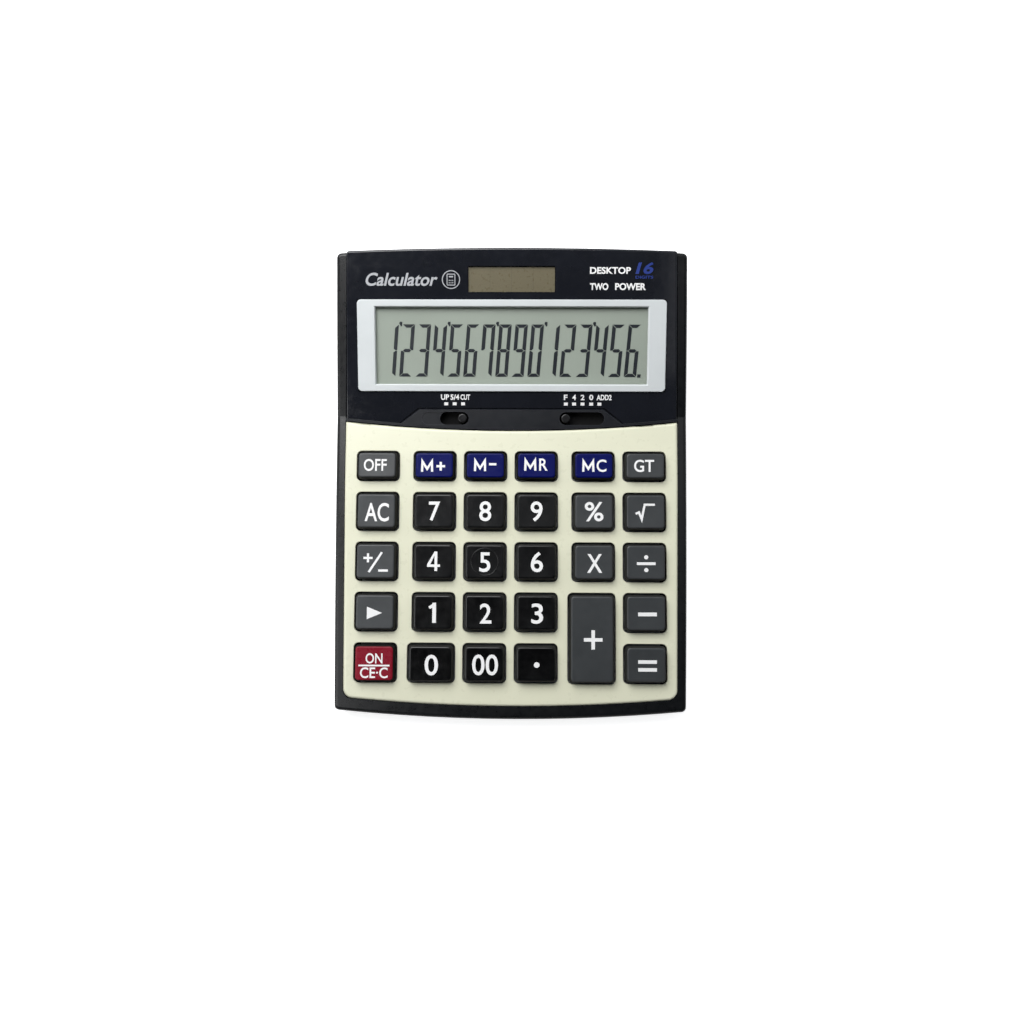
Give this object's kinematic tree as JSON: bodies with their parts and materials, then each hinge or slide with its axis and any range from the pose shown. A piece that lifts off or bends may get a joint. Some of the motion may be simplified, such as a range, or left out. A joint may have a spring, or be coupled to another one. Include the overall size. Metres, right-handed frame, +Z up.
{
  "type": "desk calculator",
  "caption": "Desktop calculator with a low wedge-shaped casing, a raised display panel with a wide liquid crystal screen and solar cell, sliding mode switches and a full keyboard.",
  "frame": {"origin": "middle of the footprint, on the surface that the rubber feet stand on", "axes": "+X to the right as seen by the user, +Y away from the user towards the display, +Z up"},
  "size_m": [0.1552, 0.2034, 0.0363],
  "materials": {
    "casing": "fine satin black moulded plastic",
    "casing_base": "matte black moulded plastic, fine texture",
    "key_plate": "ivory satin plastic",
    "display_panel": "polished black plastic",
    "bezel": "silver painted plastic",
    "clear_window": "clear polished acrylic",
    "lcd": "grey-green reflective liquid crystal glass",
    "white_plastic": "natural moulded plastic",
    "ribbon": "flexible printed film",
    "solar_cell": "brown amorphous silicon cell",
    "switch_trim": "satin black plastic",
    "knob": "black moulded plastic",
    "contact_metal": "plated spring strip",
    "keypad_rubber": "grey silicone rubber",
    "circuit_board": "green coated laminate",
    "blob": "black epoxy",
    "components": "small surface-mounted pieces",
    "cell_metal": "nickel-plated steel",
    "lead_red": "red wire insulation",
    "lead_black": "black wire insulation",
    "foot_rubber": "black rubber",
    "screw_metal": "zinc-plated steel",
    "keys_grey": "dark grey satin plastic",
    "keys_black": "black semi-gloss plastic",
    "keys_blue": "blue semi-gloss plastic",
    "key_red": "red semi-gloss plastic"
  },
  "bodies": {
    "case": {"upper_case": "casing", "lower_case": "casing_base", "key_plate": "key_plate", "display_panel": "display_panel", "lcd_bezel": "bezel", "lcd_window": "clear_window", "lcd_glass": "lcd", "lcd_holder": "white_plastic", "lcd_ribbon": "ribbon", "solar_cell": "solar_cell", "solar_window": "clear_window", "switch_trim": "switch_trim", "rubber_keypad": "keypad_rubber", "main_board": "circuit_board", "processor_blob": "blob", "board_components": "components", "battery_cell": "cell_metal", "battery_contact_positive": "contact_metal", "battery_contact_negative": "contact_metal", "battery_lead_positive": "lead_red", "battery_lead_negative": "lead_black", "rubber_feet": "foot_rubber", "case_screws": "screw_metal", "board_screws": "screw_metal"},
    "key_off": {"key_off": "keys_grey"},
    "key_m_plus": {"key_m_plus": "keys_blue"},
    "key_m_minus": {"key_m_minus": "keys_blue"},
    "key_mr": {"key_mr": "keys_blue"},
    "key_mc": {"key_mc": "keys_blue"},
    "key_gt": {"key_gt": "keys_grey"},
    "key_ac": {"key_ac": "keys_grey"},
    "key_7": {"key_7": "keys_black"},
    "key_8": {"key_8": "keys_black"},
    "key_9": {"key_9": "keys_black"},
    "key_percent": {"key_percent": "keys_grey"},
    "key_root": {"key_root": "keys_grey"},
    "key_sign": {"key_sign": "keys_grey"},
    "key_4": {"key_4": "keys_black"},
    "key_5": {"key_5": "keys_black"},
    "key_6": {"key_6": "keys_black"},
    "key_multiply": {"key_multiply": "keys_grey"},
    "key_divide": {"key_divide": "keys_grey"},
    "key_shift_right": {"key_shift_right": "keys_grey"},
    "key_1": {"key_1": "keys_black"},
    "key_2": {"key_2": "keys_black"},
    "key_3": {"key_3": "keys_black"},
    "key_minus": {"key_minus": "keys_grey"},
    "key_on": {"key_on": "key_red"},
    "key_0": {"key_0": "keys_black"},
    "key_00": {"key_00": "keys_black"},
    "key_point": {"key_point": "keys_black"},
    "key_equals": {"key_equals": "keys_grey"},
    "key_plus": {"key_plus": "keys_grey"},
    "rounding_switch": {"rounding_switch_knob": "knob", "rounding_wiper": "contact_metal"},
    "decimal_switch": {"decimal_switch_knob": "knob", "decimal_wiper": "contact_metal"},
    "battery_cover": {"battery_cover": "casing_base"}
  },
  "joints": [
    {"name": "rounding_switch_slide", "type": "slide", "parent": "case", "child": "rounding_switch", "axis": [-1, 0, 0], "range_m": [0, 0.0073]},
    {"name": "decimal_switch_slide", "type": "slide", "parent": "case", "child": "decimal_switch", "axis": [1, 0, 0], "range_m": [0, 0.0142]},
    {"name": "battery_cover_slide", "type": "slide", "parent": "case", "child": "battery_cover", "axis": [0, 1, 0], "range_m": [0, 0.03]},
    {"name": "key_off_press", "type": "slide", "parent": "case", "child": "key_off", "axis": [0, 0.0523, -0.9986], "range_m": [0, 0.0015], "stiffness_N_per_m": 300, "deforming": ["rubber_keypad"]},
    {"name": "key_m_plus_press", "type": "slide", "parent": "case", "child": "key_m_plus", "axis": [0, 0.0523, -0.9986], "range_m": [0, 0.0015], "stiffness_N_per_m": 300, "deforming": ["rubber_keypad"]},
    {"name": "key_m_minus_press", "type": "slide", "parent": "case", "child": "key_m_minus", "axis": [0, 0.0523, -0.9986], "range_m": [0, 0.0015], "stiffness_N_per_m": 300, "deforming": ["rubber_keypad"]},
    {"name": "key_mr_press", "type": "slide", "parent": "case", "child": "key_mr", "axis": [0, 0.0523, -0.9986], "range_m": [0, 0.0015], "stiffness_N_per_m": 300, "deforming": ["rubber_keypad"]},
    {"name": "key_mc_press", "type": "slide", "parent": "case", "child": "key_mc", "axis": [0, 0.0523, -0.9986], "range_m": [0, 0.0015], "stiffness_N_per_m": 300, "deforming": ["rubber_keypad"]},
    {"name": "key_gt_press", "type": "slide", "parent": "case", "child": "key_gt", "axis": [0, 0.0523, -0.9986], "range_m": [0, 0.0015], "stiffness_N_per_m": 300, "deforming": ["rubber_keypad"]},
    {"name": "key_ac_press", "type": "slide", "parent": "case", "child": "key_ac", "axis": [0, 0.0523, -0.9986], "range_m": [0, 0.0015], "stiffness_N_per_m": 300, "deforming": ["rubber_keypad"]},
    {"name": "key_7_press", "type": "slide", "parent": "case", "child": "key_7", "axis": [0, 0.0523, -0.9986], "range_m": [0, 0.0015], "stiffness_N_per_m": 300, "deforming": ["rubber_keypad"]},
    {"name": "key_8_press", "type": "slide", "parent": "case", "child": "key_8", "axis": [0, 0.0523, -0.9986], "range_m": [0, 0.0015], "stiffness_N_per_m": 300, "deforming": ["rubber_keypad"]},
    {"name": "key_9_press", "type": "slide", "parent": "case", "child": "key_9", "axis": [0, 0.0523, -0.9986], "range_m": [0, 0.0015], "stiffness_N_per_m": 300, "deforming": ["rubber_keypad"]},
    {"name": "key_percent_press", "type": "slide", "parent": "case", "child": "key_percent", "axis": [0, 0.0523, -0.9986], "range_m": [0, 0.0015], "stiffness_N_per_m": 300, "deforming": ["rubber_keypad"]},
    {"name": "key_root_press", "type": "slide", "parent": "case", "child": "key_root", "axis": [0, 0.0523, -0.9986], "range_m": [0, 0.0015], "stiffness_N_per_m": 300, "deforming": ["rubber_keypad"]},
    {"name": "key_sign_press", "type": "slide", "parent": "case", "child": "key_sign", "axis": [0, 0.0523, -0.9986], "range_m": [0, 0.0015], "stiffness_N_per_m": 300, "deforming": ["rubber_keypad"]},
    {"name": "key_4_press", "type": "slide", "parent": "case", "child": "key_4", "axis": [0, 0.0523, -0.9986], "range_m": [0, 0.0015], "stiffness_N_per_m": 300, "deforming": ["rubber_keypad"]},
    {"name": "key_5_press", "type": "slide", "parent": "case", "child": "key_5", "axis": [0, 0.0523, -0.9986], "range_m": [0, 0.0015], "stiffness_N_per_m": 300, "deforming": ["rubber_keypad"]},
    {"name": "key_6_press", "type": "slide", "parent": "case", "child": "key_6", "axis": [0, 0.0523, -0.9986], "range_m": [0, 0.0015], "stiffness_N_per_m": 300, "deforming": ["rubber_keypad"]},
    {"name": "key_multiply_press", "type": "slide", "parent": "case", "child": "key_multiply", "axis": [0, 0.0523, -0.9986], "range_m": [0, 0.0015], "stiffness_N_per_m": 300, "deforming": ["rubber_keypad"]},
    {"name": "key_divide_press", "type": "slide", "parent": "case", "child": "key_divide", "axis": [0, 0.0523, -0.9986], "range_m": [0, 0.0015], "stiffness_N_per_m": 300, "deforming": ["rubber_keypad"]},
    {"name": "key_shift_right_press", "type": "slide", "parent": "case", "child": "key_shift_right", "axis": [0, 0.0523, -0.9986], "range_m": [0, 0.0015], "stiffness_N_per_m": 300, "deforming": ["rubber_keypad"]},
    {"name": "key_1_press", "type": "slide", "parent": "case", "child": "key_1", "axis": [0, 0.0523, -0.9986], "range_m": [0, 0.0015], "stiffness_N_per_m": 300, "deforming": ["rubber_keypad"]},
    {"name": "key_2_press", "type": "slide", "parent": "case", "child": "key_2", "axis": [0, 0.0523, -0.9986], "range_m": [0, 0.0015], "stiffness_N_per_m": 300, "deforming": ["rubber_keypad"]},
    {"name": "key_3_press", "type": "slide", "parent": "case", "child": "key_3", "axis": [0, 0.0523, -0.9986], "range_m": [0, 0.0015], "stiffness_N_per_m": 300, "deforming": ["rubber_keypad"]},
    {"name": "key_minus_press", "type": "slide", "parent": "case", "child": "key_minus", "axis": [0, 0.0523, -0.9986], "range_m": [0, 0.0015], "stiffness_N_per_m": 300, "deforming": ["rubber_keypad"]},
    {"name": "key_on_press", "type": "slide", "parent": "case", "child": "key_on", "axis": [0, 0.0523, -0.9986], "range_m": [0, 0.0015], "stiffness_N_per_m": 300, "deforming": ["rubber_keypad"]},
    {"name": "key_0_press", "type": "slide", "parent": "case", "child": "key_0", "axis": [0, 0.0523, -0.9986], "range_m": [0, 0.0015], "stiffness_N_per_m": 300, "deforming": ["rubber_keypad"]},
    {"name": "key_00_press", "type": "slide", "parent": "case", "child": "key_00", "axis": [0, 0.0523, -0.9986], "range_m": [0, 0.0015], "stiffness_N_per_m": 300, "deforming": ["rubber_keypad"]},
    {"name": "key_point_press", "type": "slide", "parent": "case", "child": "key_point", "axis": [0, 0.0523, -0.9986], "range_m": [0, 0.0015], "stiffness_N_per_m": 300, "deforming": ["rubber_keypad"]},
    {"name": "key_equals_press", "type": "slide", "parent": "case", "child": "key_equals", "axis": [0, 0.0523, -0.9986], "range_m": [0, 0.0015], "stiffness_N_per_m": 300, "deforming": ["rubber_keypad"]},
    {"name": "key_plus_press", "type": "slide", "parent": "case", "child": "key_plus", "axis": [0, 0.0523, -0.9986], "range_m": [0, 0.0015], "stiffness_N_per_m": 300, "deforming": ["rubber_keypad"]}
  ]
}
